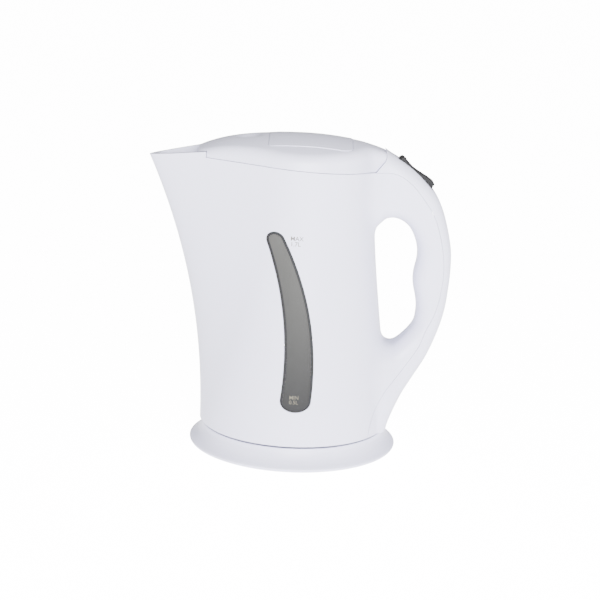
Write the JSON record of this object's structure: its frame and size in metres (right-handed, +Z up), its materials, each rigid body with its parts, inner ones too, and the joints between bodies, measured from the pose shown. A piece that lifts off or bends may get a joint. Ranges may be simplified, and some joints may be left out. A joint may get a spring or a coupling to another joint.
{
  "type": "electric kettle",
  "caption": "Plastic jug kettle with a prow-shaped spout, hinged lid, loop handle, rocker switch and curved water windows, lifting off a round power base.",
  "frame": {"origin": "on the table plane, at the middle of the footprint's bounding box, 0.3 mm towards the spout from the jug's own axis", "axes": "+Z up, +X from the spout towards the handle, +Y to the right-hand side of a person who holds the handle and looks along the spout"},
  "size_m": [0.2139, 0.1478, 0.2237],
  "materials": {
    "white_gloss": "satin-gloss moulded polypropylene",
    "white_matte": "plain moulded polypropylene",
    "window_grey": "smoke-grey translucent plastic, polished",
    "rubber": "dark grey rubber",
    "switch_grey": "dark grey moulded plastic, lightly textured",
    "black_plastic": "black glass-filled plastic",
    "steel": "stainless steel",
    "aluminium": "cast and drawn aluminium",
    "brass": "bright brass",
    "silicone": "grey silicone rubber",
    "lead_sleeve": "woven glass-fibre sleeve"
  },
  "bodies": {
    "power_base": {"base_upper_shell": "white_gloss", "base_lower_plate": "white_matte", "base_connector_hub": "black_plastic", "base_earth_pin": "brass", "base_live_ring": "brass", "base_neutral_ring": "brass", "base_foot_1": "rubber", "base_foot_2": "rubber", "base_foot_3": "rubber", "base_screw_1": "steel", "base_screw_2": "steel", "base_screw_3": "steel", "cord_inlet_bush": "rubber"},
    "jug": {"jug_body": "white_gloss", "handle_cover": "white_gloss", "water_window_left": "window_grey", "water_window_right": "window_grey", "window_seal_left": "rubber", "window_seal_right": "rubber", "element_plate": "steel", "element_seal_ring": "silicone", "heat_spreader": "aluminium", "heating_element": "aluminium", "thermal_control": "black_plastic", "control_blade_live": "brass", "control_blade_neutral": "brass", "control_screw_1": "steel", "control_screw_2": "steel", "bottom_cover": "white_matte", "bottom_cover_screw_1": "steel", "bottom_cover_screw_2": "steel", "bottom_cover_screw_3": "steel", "handle_screw_1": "steel", "handle_screw_2": "steel", "spout_filter_frame": "white_matte", "spout_filter_mesh": "steel", "steam_switch_body": "black_plastic", "steam_bimetal_disc": "brass", "switch_pivot_pin": "steel", "switch_lead_live": "lead_sleeve", "switch_lead_neutral": "lead_sleeve"},
    "lid": {"lid_shell": "white_gloss", "lid_liner": "white_matte", "lid_grip": "white_gloss", "lid_hinge_pin": "steel"},
    "switch": {"switch_rocker": "switch_grey"}
  },
  "joints": [
    {"name": "jug_lift", "type": "slide", "parent": "power_base", "child": "jug", "axis": [0, 0, 1], "range_m": [0, 0.08]},
    {"name": "lid_hinge", "type": "hinge", "parent": "jug", "child": "lid", "pos_m": [0.0503, 0, 0.21178], "axis": [0, 1, 0], "range_deg": [0, 78]},
    {"name": "switch_rock", "type": "hinge", "parent": "jug", "child": "switch", "pos_m": [0.07633, 0, 0.19744], "axis": [0, 1, 0], "range_deg": [0, 6]}
  ]
}
